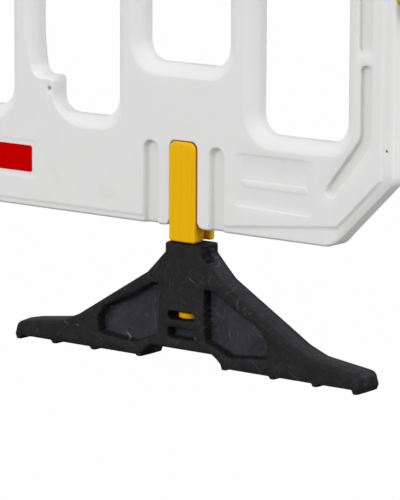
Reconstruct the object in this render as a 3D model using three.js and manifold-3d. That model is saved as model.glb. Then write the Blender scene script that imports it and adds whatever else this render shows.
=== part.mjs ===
// Crowd control barrier: a hollow blow-moulded panel that stands on two swivelling rubber feet.
// Millimetres, +Z up. +X runs along the panel, -Y is the front, the origin is on the ground
// under the middle of the panel. The feet are drawn turned in line with the panel, for stacking.
import * as THREE from 'three';
import { mergeVertices } from 'three/addons/utils/BufferGeometryUtils.js';
import Module from 'manifold-3d';

// ---- driving dimensions -------------------------------------------------------------------
const LENGTH = 2000; // panel, end to end
const TOP = 1000; // panel's upper edge above the ground
const BOTTOM = 191; // panel's lower edge above the ground
const THICKNESS = 40; // panel, face to face
const WALL = 3.5; // wall of the hollow panel
const CHAMFER = 95; // 45 degree cut across each corner of the panel
const OUTER_ROUND = 8; // rounding of the panel's outer edge
const BAR_ROUND = 18.5; // rounding of the window edges, which makes the bars nearly round
const GAP = 0.3; // clearance between separate pieces

const FOOT_AXIS = 660.8; // swivel axes, either side of the panel's middle
const FOOT_WINDOW = 658.2; // centre of the shorter window over each foot
const WINDOW_CENTRES = [91.8, 280.6, 469.4, FOOT_WINDOW, 851.1];
const WINDOW_WIDTH = 144;
const WINDOW_CORNER = 28;
const SILL = 329;
const SILL_OVER_FOOT = 413;
const MIDDLE = (TOP + BOTTOM) / 2; // the panel's upper half mirrors its lower half here
const LINTEL = 2 * MIDDLE - SILL;

const GROOVE = { offset: 55.5, width: 26, top: 305, depth: 8 }; // either side of each foot
const POST_SLOT = { x: 958.7, width: 18, top: 436.5, bend: 336.4, tipX: 905.3, tipZ: 266.7, depth: 6 };
const POST_RECESS = { x: 957.6, width: 22, low: 449, depth: 4.5 };
const PLAQUE = { near: 84, far: 216, low: 229.5, high: 302.5, corner: 10, depth: 0.8 };
const LUG = { inner: 374, outer: 436.4, low: 287, high: 378.5, corner: 12, half: 19.7, round: 6 };
const LUG_HOLE = { x: 426.5, z: 361, radius: 3 };
const VENT = { x: 990.3, z: 327.5, radius: 1.8, depth: 7 }; // opens the hollow, in the front face

const FILM = { length: 250, low: 240.3, height: 37.3, corner: 3, thick: 0.4, border: 7, depth: 0.6 };
const LOWER_FILMS = [-269.1, 269.1]; // centres along the lower rail
const UPPER_FILMS = [-538.2, 0, 538.2]; // centres along the upper rail

const CLAMP = { width: 44.4, low: 171.5, high: 308.6, corner: 11, outer: 23, inner: 13.5, bevel: 1.8 };
const CLAMP_WEB_WIDTH = 24; // between the cheeks, under the panel
const STEM_RADIUS = 13;
const DISC = { radius: 17.1, low: 64.5, high: 72.7 };

const FOOT_WIDTH = 47.2;
const FOOT_TOP = 170.5;
const FOOT_POCKET_DEPTH = 15;
const FOOT_BORE = 13.8;
const DISC_SLOT = { half: 22.9, low: 63, high: 75 };
const LOWER_SLOT = { half: 22.4, low: 37.2, high: 52.4 };
const FOOT_NOTCH = { depth: 7, low: 140, high: 160, near: 2, far: 19 }; // in the ends of the head
// Ribs under the foot, as [distance from the swivel axis, clearance]; only the end ribs touch down.
const RIBS = [[73, 3.5], [154, 2], [224, 1.4], [289, 0]];
const RIB = { tip: 6, root: 11.5 }; // widths
const SOLE = 5.6; // underside of the foot above the ground

const COUPLER = { heights: [548, 828], reach: 30, thick: 12, hole: 10.5, peg: 9, pegDrop: 34 };
const FLANGE = { width: 25, height: 58, thick: 5, corner: 6, screwOffset: 20 };
const SCREW = { head: 4.5, headHigh: 3, shank: 2.2, length: 2.6 };

// ---- solids -------------------------------------------------------------------------------
const wasm = await Module();
wasm.setup();

function toSolid(geometry) {
  const bare = geometry.index ? geometry.toNonIndexed() : geometry.clone();
  bare.deleteAttribute('normal');
  bare.deleteAttribute('uv');
  const merged = mergeVertices(bare, 1e-4);
  return new wasm.Manifold(new wasm.Mesh({
    numProp: 3,
    vertProperties: new Float32Array(merged.attributes.position.array),
    triVerts: new Uint32Array(merged.index.array),
  }));
}

function toGeometry(solid) {
  const mesh = solid.getMesh();
  const geometry = new THREE.BufferGeometry();
  const points = new Float32Array(mesh.numVert * 3);
  for (let i = 0; i < mesh.numVert; i += 1) {
    points.set(mesh.vertProperties.subarray(i * mesh.numProp, i * mesh.numProp + 3), i * 3);
  }
  geometry.setAttribute('position', new THREE.BufferAttribute(points, 3));
  geometry.setIndex(new THREE.BufferAttribute(new Uint32Array(mesh.triVerts), 1));
  geometry.computeVertexNormals();
  return geometry;
}

const join = (solids) => solids.reduce((sum, next) => sum.add(next));
const cut = (solid, cutters) => cutters.reduce((rest, next) => rest.subtract(next), solid);

// Follows a polygon's corners [x, z, radius], rounding each with an arc.
function roundedPath(target, corners) {
  const count = corners.length;
  const at = (i) => new THREE.Vector2(...corners[(i + count) % count].slice(0, 2));
  for (let i = 0; i < count; i += 1) {
    const corner = at(i);
    const radius = corners[i][2] ?? 0;
    const back = at(i - 1).sub(corner).normalize();
    const ahead = at(i + 1).sub(corner).normalize();
    const half = Math.acos(THREE.MathUtils.clamp(back.dot(ahead), -1, 1)) / 2;
    const start = back.clone().multiplyScalar(radius / Math.tan(half)).add(corner);
    const end = ahead.clone().multiplyScalar(radius / Math.tan(half)).add(corner);
    if (i === 0) target.moveTo(start.x, start.y);
    else target.lineTo(start.x, start.y);
    if (radius > 0) {
      const middle = back.clone().add(ahead).normalize();
      const centre = middle.multiplyScalar(radius / Math.sin(half)).add(corner);
      const from = Math.atan2(start.y - centre.y, start.x - centre.x);
      const to = Math.atan2(end.y - centre.y, end.x - centre.x);
      target.absarc(centre.x, centre.y, radius, from, to, back.cross(ahead) > 0);
    }
  }
  target.closePath();
  return target;
}

const rectangle = (x0, z0, x1, z1, r) => [[x0, z0, r], [x1, z0, r], [x1, z1, r], [x0, z1, r]];
const shapeOf = (corners) => roundedPath(new THREE.Shape(), corners);

// A bar with round ends between two points of the XZ plane.
function stadium(ax, az, bx, bz, radius) {
  const shape = new THREE.Shape();
  const along = Math.atan2(bz - az, bx - ax);
  shape.absarc(bx, bz, radius, along - Math.PI / 2, along + Math.PI / 2, false);
  shape.absarc(ax, az, radius, along + Math.PI / 2, along + 1.5 * Math.PI, false);
  shape.closePath();
  return shape;
}

function disc(x, z, radius) {
  const shape = new THREE.Shape();
  shape.absarc(x, z, radius, 0, 2 * Math.PI, false);
  return shape;
}

// Extrudes an XZ outline between two Y planes, with its edges rounded off by `round`.
function slab(shape, y0, y1, round = 0, arcs = 3, steps = 3) {
  const geometry = new THREE.ExtrudeGeometry(shape, {
    depth: y1 - y0 - 2 * round,
    curveSegments: arcs,
    bevelEnabled: round > 0,
    bevelThickness: round,
    bevelSize: round,
    bevelOffset: -round,
    bevelSegments: steps,
  });
  geometry.rotateX(Math.PI / 2);
  geometry.translate(0, y1 - round, 0);
  return toSolid(geometry);
}

// The same cutter from the front face and from the back face, `depth` deep from +-`face`.
function bothFaces(shape, face, depth, arcs = 3) {
  return [slab(shape, -face - 5, -face + depth, 0, arcs), slab(shape, face - depth, face + 5, 0, arcs)];
}

// Turns a half profile of [radius, z] points, listed from the bottom up, about the Z axis.
function turned(profile, segments = 20) {
  const points = profile.map(([r, z]) => new THREE.Vector2(r, z));
  const geometry = new THREE.LatheGeometry(points, segments);
  geometry.rotateX(Math.PI / 2);
  return toSolid(geometry);
}

// A plain cylinder along X between two planes.
function rodX(radius, x0, x1, y, z, segments = 12) {
  const geometry = new THREE.CylinderGeometry(radius, radius, x1 - x0, segments);
  geometry.rotateZ(-Math.PI / 2);
  geometry.translate((x0 + x1) / 2, y, z);
  return toSolid(geometry);
}

// ---- materials ----------------------------------------------------------------------------
const finish = (color, roughness) => new THREE.MeshStandardMaterial({ color, roughness, metalness: 0 });
const MATERIALS = {
  panel: () => finish(0xdbdbdb, 0.45),
  film: () => finish(0xbd0102, 0.35),
  clamp: () => finish(0xe0b10d, 0.4),
  rubber: () => finish(0x262626, 0.85),
  steel: () => new THREE.MeshStandardMaterial({ color: 0xb9bcc0, roughness: 0.35, metalness: 1 }),
};

const barrier = new THREE.Group();

function addNode(name, solid, material) {
  const mesh = new THREE.Mesh(toGeometry(solid), MATERIALS[material]());
  mesh.name = name;
  barrier.add(mesh);
  return mesh;
}

// ---- panel --------------------------------------------------------------------------------
function panelOutline(inset) {
  const x = LENGTH / 2 - inset;
  const low = BOTTOM + inset;
  const high = TOP - inset;
  const leg = CHAMFER - inset * (2 - Math.SQRT2);
  const [near, far] = [30 - inset, 20 - inset]; // corner radii on the rails and on the end posts
  return shapeOf([
    [-x + leg, low, near], [x - leg, low, near], [x, low + leg, far], [x, high - leg, far],
    [x - leg, high, near], [-x + leg, high, near], [-x, high - leg, far], [-x, low + leg, far],
  ]);
}

// A sheet larger than the panel, holding all the windows; `grow` widens each window.
function windowedSheet(grow, arcs, steps) {
  const reach = 60;
  const half = LENGTH / 2 + reach;
  const sheet = shapeOf(rectangle(-half, BOTTOM - reach, half, TOP + reach, 0));
  for (const centre of WINDOW_CENTRES) {
    const sill = centre === FOOT_WINDOW ? SILL_OVER_FOOT : SILL;
    for (const side of [-1, 1]) {
      const [x0, x1] = [side * centre - WINDOW_WIDTH / 2, side * centre + WINDOW_WIDTH / 2];
      const corners = rectangle(x0 - grow, sill - grow, x1 + grow, LINTEL + grow, WINDOW_CORNER + grow);
      sheet.holes.push(roundedPath(new THREE.Path(), corners));
    }
  }
  const face = THICKNESS / 2 - grow;
  return slab(sheet, -face, face, BAR_ROUND - grow, arcs, steps);
}

// Every recess moulded into the faces, widened and deepened by `grow`.
function faceCutters(grow, arcs) {
  const face = THICKNESS / 2;
  const cutters = [];
  const onBoth = (shape, depth) => cutters.push(...bothFaces(shape, face, depth + grow, arcs));
  for (const side of [-1, 1]) {
    for (const hand of [-1, 1]) {
      const x = side * FOOT_AXIS + hand * GROOVE.offset;
      const r = GROOVE.width / 2;
      onBoth(stadium(x, BOTTOM - 40, x, GROOVE.top - r, r + grow), GROOVE.depth);
    }
    for (const flip of [-1, 1]) {
      const place = (z) => MIDDLE + flip * (z - MIDDLE);
      const r = POST_SLOT.width / 2 + grow;
      const x = side * POST_SLOT.x;
      const [bend, tip] = [place(POST_SLOT.bend), place(POST_SLOT.tipZ)];
      onBoth(stadium(x, bend, x, place(POST_SLOT.top - r + grow), r), POST_SLOT.depth);
      onBoth(stadium(x, bend, side * POST_SLOT.tipX, tip, r), POST_SLOT.depth);
    }
    const low = POST_RECESS.low + POST_RECESS.width / 2;
    const x = side * POST_RECESS.x;
    const wide = POST_RECESS.width / 2 + grow;
    onBoth(stadium(x, low, x, 2 * MIDDLE - low, wide), POST_RECESS.depth);
    const clampHalf = CLAMP.width / 2 + 1 + grow;
    const clampRecess = rectangle(side * FOOT_AXIS - clampHalf, BOTTOM - 30,
      side * FOOT_AXIS + clampHalf, CLAMP.high + 1 + grow, CLAMP.corner);
    onBoth(shapeOf(clampRecess), THICKNESS / 2 - CLAMP.inner + GAP);
  }
  return cutters;
}

const filmCentres = [
  ...LOWER_FILMS.map((x) => ({ x, z: FILM.low + FILM.height / 2, rail: 'lower' })),
  ...UPPER_FILMS.map((x) => ({ x, z: 2 * MIDDLE - FILM.low - FILM.height / 2, rail: 'upper' })),
];

function filmShape(film, border) {
  const [halfX, halfZ] = [FILM.length / 2 + border, FILM.height / 2 + border];
  const corners = rectangle(film.x - halfX, film.z - halfZ, film.x + halfX, film.z + halfZ, FILM.corner);
  return shapeOf(corners);
}

// Shallow marks that don't reach the hollow: film recesses and the blank plaque at each end.
function shallowCutters() {
  const cutters = [];
  for (const film of filmCentres) {
    cutters.push(...bothFaces(filmShape(film, FILM.border), THICKNESS / 2, FILM.depth, 1));
  }
  for (const side of [-1, 1]) {
    const ends = [side * (FOOT_AXIS + PLAQUE.near), side * (FOOT_AXIS + PLAQUE.far)];
    const corners = rectangle(Math.min(...ends), PLAQUE.low, Math.max(...ends), PLAQUE.high, PLAQUE.corner);
    cutters.push(...bothFaces(shapeOf(corners), THICKNESS / 2, PLAQUE.depth, 1));
  }
  return cutters;
}

// The small rounded lug in the inner lower corner of the window beside each foot.
function panelLug(side) {
  const [inner, outer] = [side * LUG.inner, side * LUG.outer];
  const block = shapeOf([
    [inner, LUG.low, 0], [outer, LUG.low, 0], [outer, LUG.high, LUG.corner], [inner, LUG.high, 0],
  ]);
  const hole = slab(disc(side * LUG_HOLE.x, LUG_HOLE.z, LUG_HOLE.radius), -THICKNESS, THICKNESS);
  return slab(block, -LUG.half, LUG.half, LUG.round, 3, 2).subtract(hole);
}

function makePanel() {
  const face = THICKNESS / 2;
  const sheet = windowedSheet(0, 2, 2).intersect(slab(panelOutline(0), -face, face, OUTER_ROUND, 3, 3));
  const body = join([sheet, panelLug(-1), panelLug(1)]);
  const core = slab(panelOutline(WALL), -face + WALL, face - WALL, OUTER_ROUND - WALL, 1, 1);
  const hollow = cut(windowedSheet(WALL, 1, 1).intersect(core), faceCutters(WALL, 2));
  const vent = slab(disc(VENT.x, VENT.z, VENT.radius), -face - 1, -face + VENT.depth, 0, 4);
  return cut(body, [...faceCutters(0, 3), ...shallowCutters(), hollow, vent]);
}

// ---- reflective films ---------------------------------------------------------------------
function addFilms() {
  for (const [index, film] of filmCentres.entries()) {
    const count = film.rail === 'lower' ? index + 1 : index + 1 - LOWER_FILMS.length;
    const floor = THICKNESS / 2 - FILM.depth + GAP;
    const shape = filmShape(film, 0);
    addNode(`film_front_${film.rail}_${count}`, slab(shape, -floor - FILM.thick, -floor, 0, 1), 'film');
    addNode(`film_back_${film.rail}_${count}`, slab(shape, floor, floor + FILM.thick, 0, 1), 'film');
  }
}

// ---- foot clamps --------------------------------------------------------------------------
// Two cheeks grip the panel's lower edge; the stem under them ends in a disc inside the foot.
function makeClamp(axis) {
  const half = CLAMP.width / 2;
  const cheek = shapeOf([
    [axis - half, CLAMP.low, 2.5], [axis + half, CLAMP.low, 2.5],
    [axis + half, CLAMP.high, CLAMP.corner], [axis - half, CLAMP.high, CLAMP.corner],
  ]);
  const front = slab(cheek, -CLAMP.outer, -CLAMP.inner, CLAMP.bevel, 3, 2);
  const back = slab(cheek, CLAMP.inner, CLAMP.outer, CLAMP.bevel, 3, 2);
  const webShape = shapeOf(rectangle(axis - CLAMP_WEB_WIDTH / 2, CLAMP.low,
    axis + CLAMP_WEB_WIDTH / 2, BOTTOM - GAP, 0.5));
  const web = slab(webShape, -CLAMP.outer + 4, CLAMP.outer - 4, 0, 1);
  const stem = turned([
    [0, DISC.low], [DISC.radius - 1.5, DISC.low], [DISC.radius, DISC.low + 1.5],
    [DISC.radius, DISC.high - 1.5], [DISC.radius - 1.5, DISC.high], [STEM_RADIUS, DISC.high],
    [STEM_RADIUS, CLAMP.low + 4], [0, CLAMP.low + 4],
  ]).translate([axis, 0, 0]);
  return join([front, back, web, stem]);
}

// ---- feet ---------------------------------------------------------------------------------
// Half of the foot's side outline, from the middle of its top to its end, as [x, z, radius].
const FOOT_SHOULDER = [
  [31.5, FOOT_TOP, 4], [31.5, 156, 2], [62.6, 124.5, 6], [184.6, 49.3, 50],
  [214.2, 37.4, 50], [279.4, 28.9, 8], [295.1, 26, 12], [295.1, SOLE, 2],
];
const FOOT_ARCH = [[76, SOLE, 2], [50.5, 20.5, 4]];

const mirrored = (points) => points.map(([x, z, r]) => [-x, z, r]).reverse();
const moved = (points, dx) => points.map(([x, z, r]) => [x + dx, z, r]);

function footPocket(hand, axis) {
  const corners = [
    [37, 110, 4], [50, 110, 4], [133.5, 67, 5], [146, 49, 5], [143, 28, 5], [82, 22.5, 6], [41, 39, 4],
  ];
  return shapeOf(moved(hand > 0 ? corners : mirrored(corners), axis));
}

function makeFoot(axis) {
  const half = FOOT_WIDTH / 2;
  const right = [...FOOT_SHOULDER, ...FOOT_ARCH];
  const outline = shapeOf(moved([...right, ...mirrored(right)].reverse(), axis));
  const body = slab(outline, -half, half, 1, 2, 1);
  const ribs = RIBS.flatMap(([at, tip]) => [[-at, tip], [at, tip]]).map(([at, tip]) => {
    const x = axis + at;
    const rib = shapeOf([
      [x - RIB.tip / 2, tip, 0.8], [x + RIB.tip / 2, tip, 0.8], [x + RIB.root / 2, SOLE, 0],
      [x + RIB.root / 2, SOLE + 6, 0], [x - RIB.root / 2, SOLE + 6, 0], [x - RIB.root / 2, SOLE, 0],
    ]);
    return slab(rib, -half + 0.5, half - 0.5, 0, 1);
  });
  const pockets = [-1, 1].flatMap((hand) => bothFaces(footPocket(hand, axis), half, FOOT_POCKET_DEPTH, 1));
  const lowerSlot = bothFaces(shapeOf(rectangle(axis - LOWER_SLOT.half, LOWER_SLOT.low,
    axis + LOWER_SLOT.half, LOWER_SLOT.high, 3)), half, FOOT_POCKET_DEPTH, 1);
  const discSlot = slab(shapeOf(rectangle(axis - DISC_SLOT.half, DISC_SLOT.low,
    axis + DISC_SLOT.half, DISC_SLOT.high, 5)), -half - 5, half + 5, 0, 2);
  const bore = turned([[0, DISC_SLOT.high - 4], [FOOT_BORE, DISC_SLOT.high - 4],
    [FOOT_BORE, FOOT_TOP + 5], [0, FOOT_TOP + 5]]).translate([axis, 0, 0]);
  const notches = [-1, 1].map((hand) => {
    const [deep, open] = [FOOT_SHOULDER[0][0] - FOOT_NOTCH.depth, FOOT_SHOULDER[0][0] + 16];
    const ends = [axis + hand * deep, axis + hand * open];
    const span = [-hand * FOOT_NOTCH.far, hand * FOOT_NOTCH.near];
    const corners = rectangle(Math.min(...ends), FOOT_NOTCH.low, Math.max(...ends), FOOT_NOTCH.high, 3);
    return slab(shapeOf(corners), Math.min(...span), Math.max(...span), 0, 1);
  });
  return cut(join([body, ...ribs]), [...pockets, ...lowerSlot, discSlot, bore, ...notches]);
}

// ---- end couplers -------------------------------------------------------------------------
// A yellow flange on each end face: pegs on the right end drop into eyes on the next barrier.
function flange(side, z) {
  const shape = shapeOf(rectangle(-FLANGE.width / 2, z - FLANGE.height / 2,
    FLANGE.width / 2, z + FLANGE.height / 2, FLANGE.corner));
  const near = LENGTH / 2 + GAP;
  const plate = slab(shape, near, near + FLANGE.thick, 1, 2, 1).rotate([0, 0, -90]);
  const screwHoles = [-1, 1].map((up) => (
    rodX(SCREW.shank + GAP, near - 2, near + FLANGE.thick + 2, 0, z + up * FLANGE.screwOffset)));
  const right = cut(plate, screwHoles);
  return side > 0 ? right : right.rotate([0, 0, 180]);
}

function makeCoupler(side, z) {
  const x = side * (LENGTH / 2 + COUPLER.reach);
  const inner = side * (LENGTH / 2 + GAP + 1);
  const arm = slab(shapeOf(rectangle(Math.min(x, inner), z - COUPLER.thick / 2,
    Math.max(x, inner), z + COUPLER.thick / 2, 0.5)), -COUPLER.hole - 1, COUPLER.hole + 1, 0, 1);
  const [low, high] = [z - COUPLER.thick / 2, z + COUPLER.thick / 2];
  const outer = COUPLER.hole + 6;
  const knuckle = turned([[0, low], [outer, low], [outer, high], [0, high]]).translate([x, 0, 0]);
  const body = join([flange(side, z), arm, knuckle]);
  if (side < 0) {
    const eye = turned([[0, low - 2], [COUPLER.hole, low - 2], [COUPLER.hole, high + 2], [0, high + 2]]);
    return body.subtract(eye.translate([x, 0, 0]));
  }
  const peg = turned([[0, low - COUPLER.pegDrop], [COUPLER.peg - 2, low - COUPLER.pegDrop],
    [COUPLER.peg, low - COUPLER.pegDrop + 3], [COUPLER.peg, low + 2], [0, low + 2]]);
  return body.add(peg.translate([x, 0, 0]));
}

function makeScrew(side, z) {
  const seat = LENGTH / 2 + GAP + FLANGE.thick + GAP;
  const head = rodX(SCREW.head, seat, seat + SCREW.headHigh, 0, z, 12);
  const shank = rodX(SCREW.shank, seat - SCREW.length, seat + 1, 0, z, 8);
  const screw = head.add(shank);
  return side > 0 ? screw : screw.rotate([0, 0, 180]);
}

// ---- assembly -----------------------------------------------------------------------------
addNode('barrier_panel', makePanel(), 'panel');
addFilms();
for (const [hand, side] of [['left', -1], ['right', 1]]) {
  addNode(`foot_clamp_${hand}`, makeClamp(side * FOOT_AXIS), 'clamp');
  addNode(`foot_${hand}`, makeFoot(side * FOOT_AXIS), 'rubber');
  const kind = side > 0 ? 'peg' : 'eye';
  for (const [level, z] of [['lower', COUPLER.heights[0]], ['upper', COUPLER.heights[1]]]) {
    addNode(`coupling_${kind}_${level}`, makeCoupler(side, z), 'clamp');
    addNode(`coupling_screw_${hand}_${level}_1`, makeScrew(side, z - FLANGE.screwOffset), 'steel');
    addNode(`coupling_screw_${hand}_${level}_2`, makeScrew(side, z + FLANGE.screwOffset), 'steel');
  }
}

export default barrier;
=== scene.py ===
import math

import bmesh
import bpy
import numpy as np
from mathutils import Matrix, Vector
from mathutils.geometry import delaunay_2d_cdt


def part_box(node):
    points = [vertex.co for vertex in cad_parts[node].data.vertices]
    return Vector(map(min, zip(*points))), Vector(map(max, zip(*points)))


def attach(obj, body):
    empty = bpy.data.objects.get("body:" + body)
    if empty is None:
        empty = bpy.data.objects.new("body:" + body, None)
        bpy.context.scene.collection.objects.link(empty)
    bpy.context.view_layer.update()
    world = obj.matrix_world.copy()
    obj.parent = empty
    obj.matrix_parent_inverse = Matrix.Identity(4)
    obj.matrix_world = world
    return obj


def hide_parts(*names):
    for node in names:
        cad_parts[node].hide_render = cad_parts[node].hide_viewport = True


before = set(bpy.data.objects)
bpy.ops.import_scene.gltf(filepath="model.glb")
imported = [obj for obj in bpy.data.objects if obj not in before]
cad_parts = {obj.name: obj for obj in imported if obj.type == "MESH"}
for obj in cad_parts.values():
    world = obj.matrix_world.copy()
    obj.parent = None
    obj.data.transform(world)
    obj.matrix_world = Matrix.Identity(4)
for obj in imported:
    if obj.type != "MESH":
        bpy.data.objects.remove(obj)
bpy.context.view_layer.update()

# A crowd control barrier. Outlines are drawn in millimetres in the XZ plane and become metres
# when a mesh is made. The front of the barrier faces -Y.
MM = 0.001


def node_box(node):
    """The lowest and highest corners of a CAD node, in millimetres."""
    low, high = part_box(node)
    return np.array(low) / MM, np.array(high) / MM


# ---- sizes taken from the frame ----
PANEL_LOW, PANEL_HIGH = node_box("barrier_panel")
HALF_LENGTH = PANEL_HIGH[0]
HALF_DEPTH = PANEL_HIGH[1]
BOTTOM, TOP = PANEL_LOW[2], PANEL_HIGH[2]
MIDDLE = (BOTTOM + TOP) / 2
FOOT_LOW, FOOT_HIGH = node_box("foot_right")
AXIS = (FOOT_LOW[0] + FOOT_HIGH[0]) / 2
FOOT_HALF_LENGTH = (FOOT_HIGH[0] - FOOT_LOW[0]) / 2
FOOT_HALF_DEPTH = FOOT_HIGH[1]
FOOT_TOP = FOOT_HIGH[2]
CLAMP_LOW, CLAMP_HIGH = node_box("foot_clamp_right")
CLAMP_HALF = (CLAMP_HIGH[0] - CLAMP_LOW[0]) / 2
CLAMP_FACE = CLAMP_HIGH[1]
FILM_NODES = [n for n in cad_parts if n.startswith("film_")]

# ---- sizes of the panel's shape ----
# The panel's right half is drawn; the left half mirrors it. Points are x, z and, for a rounded
# corner, its radius.
WINDOW_CENTRES = [91.8, 280.6, 469.4, AXIS - 2.6, 851.1]
WINDOW_HALF = 72.0
WINDOW_CORNER = 28.0
SILL = 329.0
SILL_OVER_FOOT = 413.0
LINTEL = 2 * MIDDLE - SILL
BAR_ROUND = 18.5
WINDOW_LAND = 12.0
CHAMFER = 95.0
CHAMFER_CORNERS = (30, 20)
OUTER_ROUND = 3.6

# A lug fills one lower corner of the third window.
LUG_WINDOW = WINDOW_CENTRES[2]
LUG_WIDTH = 39.0
LUG_HEIGHT = 49.5
LUG_CORNERS = {"root": 26, "tip": 11, "jamb": 14}
LUG_ROUND_SHARE = 0.3
LUG_DRAFT = 9.0
LUG_HOLE = {"x": 426.5, "z": 361.0, "radius": 3.2, "depth": 6.0}

# The border below this line is lower than the face; x is measured from the foot's axis.
STEP_LINE = [(-2000, 200), (72, 202), (253.6, 220.6), (320.5, 287.8), (321.2, 422), (321.2, 2000)]
STEP_DEPTH = 1.9
STEP_REACH = 6.0
GROOVE = {"offset": 55.5, "half": 13.2, "top": 306, "depth": 8.0, "inner": 7.5, "outer": 4.5}
BETWEEN_GROOVES = 62.0

SLOT = {"x": 958.7, "top": 427.5, "bend": 336.4, "tip": (905.3, 266.7), "half": 9.1, "depth": 5.5}
SLOT_CORNERS = {"tip": 7.0, "top": 8.6, "inner": 22, "outer": 30}
POST = {"x": AXIS + 296.8, "half": 10.5, "low": 450, "corner": 10.3, "depth": 4.5}
PLAQUE = [
    [AXIS + 84, 231.6, 9], [AXIS + 213.6, 228.4, 9], [AXIS + 216, 302.4, 9], [AXIS + 87.6, 301.8, 9],
]
PLAQUE_DEPTH = 0.9
PLAQUE_BAR = (AXIS + 99, 257.4, AXIS + 206, 267.4, 4.8)
PLAQUE_BAR_HEIGHT = 0.6
VENT = {"x": 990.3, "z": 327.5, "radius": 1.9, "depth": 9.0}
CLAMP_RECESS = {"gap": 1.3, "depth": 6.8, "flare": 12.0, "corner": 9.5}
FILM_RECESS = {"border": 7.0, "depth": 0.6, "corner": 4}


def show(name, data):
    """Puts a mesh, a lamp or a camera in the scene, at the origin."""
    thing = bpy.data.objects.new(name, data)
    bpy.context.scene.collection.objects.link(thing)
    return thing


# ---- outlines ----
def rounded(corners, turn_step=11):
    """A closed outline through [x, z, radius] corners, with arcs."""
    points = []
    count = len(corners)
    for i, (x, z, radius) in enumerate(corners):
        here = np.array([x, z], float)
        back = np.array(corners[i - 1][:2]) - here
        ahead = np.array(corners[(i + 1) % count][:2]) - here
        back, ahead = back / np.linalg.norm(back), ahead / np.linalg.norm(ahead)
        if radius <= 0:
            points.append(here)
            continue
        half = math.acos(np.clip(back @ ahead, -1, 1)) / 2
        bisector = (back + ahead) / np.linalg.norm(back + ahead)
        centre = here + bisector * radius / math.sin(half)
        start = here + back * radius / math.tan(half) - centre
        turn = math.pi - 2 * half
        turn *= -1 if back[0] * ahead[1] - back[1] * ahead[0] > 0 else 1
        parts = max(3, math.ceil(abs(turn) / math.radians(turn_step)))
        for k in range(parts + 1):
            c, s = math.cos(turn * k / parts), math.sin(turn * k / parts)
            points.append(centre + [c * start[0] - s * start[1], s * start[0] + c * start[1]])
    points = np.array(points)
    gap = np.linalg.norm(points - np.roll(points, 1, 0), axis=1)
    return points[gap > 1e-6]


def resample(points, step, closed=True):
    """Adds points so that no edge is longer than step, which may be a function of x and z."""
    out = []
    last = len(points) if closed else len(points) - 1
    for i in range(last):
        a, b = points[i], points[(i + 1) % len(points)]
        position, length = 0.0, np.linalg.norm(b - a)
        if not callable(step):
            parts = max(1, math.ceil(length / step))
            out += [a + (b - a) * k / parts for k in range(parts)]
            continue
        while position < length:
            here = a + (b - a) * position / length
            out.append(here)
            move = step(*here)
            position += length - position if length - position < 1.5 * move else move
    if not closed:
        out.append(points[-1])
    return np.array(out)


def rectangle(x0, z0, x1, z1, radius):
    """The corners of a rounded rectangle, anticlockwise."""
    return [[x0, z0, radius], [x1, z0, radius], [x1, z1, radius], [x0, z1, radius]]


def unit(vectors):
    return vectors / np.linalg.norm(vectors, axis=1, keepdims=True)


def inward_normals(points, closed=True):
    """Unit normals on the left of the direction of travel, longer at corners."""
    if closed:
        before = points - np.roll(points, 1, 0)
        after = np.roll(points, -1, 0) - points
    else:
        steps = np.diff(points, axis=0)
        before = np.vstack([steps[:1], steps])
        after = np.vstack([steps, steps[-1:]])
    before, after = unit(before), unit(after)
    normal = unit(np.stack([-(before + after)[:, 1], (before + after)[:, 0]], 1))
    lean = (normal * np.stack([-before[:, 1], before[:, 0]], 1)).sum(1, keepdims=True)
    return normal / np.maximum(lean, 0.5)


def inside(points, loop):
    """Which points lie inside a closed loop, by the even-odd rule."""
    x, z = points[:, 0], points[:, 1]
    low, high = loop.min(0), loop.max(0)
    near = (x > low[0]) & (x < high[0]) & (z > low[1]) & (z < high[1])
    x, z = x[near], z[near]
    odd = np.zeros(len(x), bool)
    for a, b in zip(loop, np.roll(loop, -1, 0)):
        if a[1] == b[1]:
            continue
        spans = (a[1] > z) != (b[1] > z)
        odd ^= spans & (x < (b[0] - a[0]) * (z - a[1]) / (b[1] - a[1]) + a[0])
    result = np.zeros(len(points), bool)
    result[near] = odd
    return result


def smooth(t):
    """Rises softly from 0 to 1 as t does."""
    t = np.clip(t, 0, 1)
    return t * t * (3 - 2 * t)


def line_distance(x, z, a, b):
    """Distance to the straight line between two points."""
    dx, dz = b[0] - a[0], b[1] - a[1]
    t = np.clip(((x - a[0]) * dx + (z - a[1]) * dz) / (dx * dx + dz * dz), 0, 1)
    return np.hypot(x - a[0] - t * dx, z - a[1] - t * dz)


def box_distance(x, z, x0, z0, x1, z1, radius):
    """How far inside a rounded rectangle a point is; negative outside."""
    px = np.abs(x - (x0 + x1) / 2) - (x1 - x0) / 2 + radius
    pz = np.abs(z - (z0 + z1) / 2) - (z1 - z0) / 2 + radius
    outside = np.hypot(np.maximum(px, 0), np.maximum(pz, 0))
    return radius - outside - np.minimum(np.maximum(px, pz), 0)


def loop_depth(x, z, loop, reach, scale):
    """How far inside a loop each point is, negative outside, no further than reach outside.

    Distances are divided by the scale of the nearest stretch of the loop.
    """
    low, high = loop.min(0) - reach * scale.max(), loop.max(0) + reach * scale.max()
    near = (x > low[0]) & (x < high[0]) & (z > low[1]) & (z < high[1])
    px, pz = x[near], z[near]
    far = np.full(len(px), np.inf)
    for a, b, share in zip(loop, np.roll(loop, -1, 0), (scale + np.roll(scale, -1)) / 2):
        far = np.minimum(far, line_distance(px, pz, a, b) / share)
    within = inside(np.stack([px, pz], 1), loop)
    result = np.full(np.shape(x), -float(reach))
    result[near] = np.where(within, far, -far)
    return result


# ---- relief plates ----
# How far a facet may miss a curved face, in millimetres, and how near a lattice point may come to
# the point of a line, in lattice steps.
SAG = 0.03
CROWDING = 0.8


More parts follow.
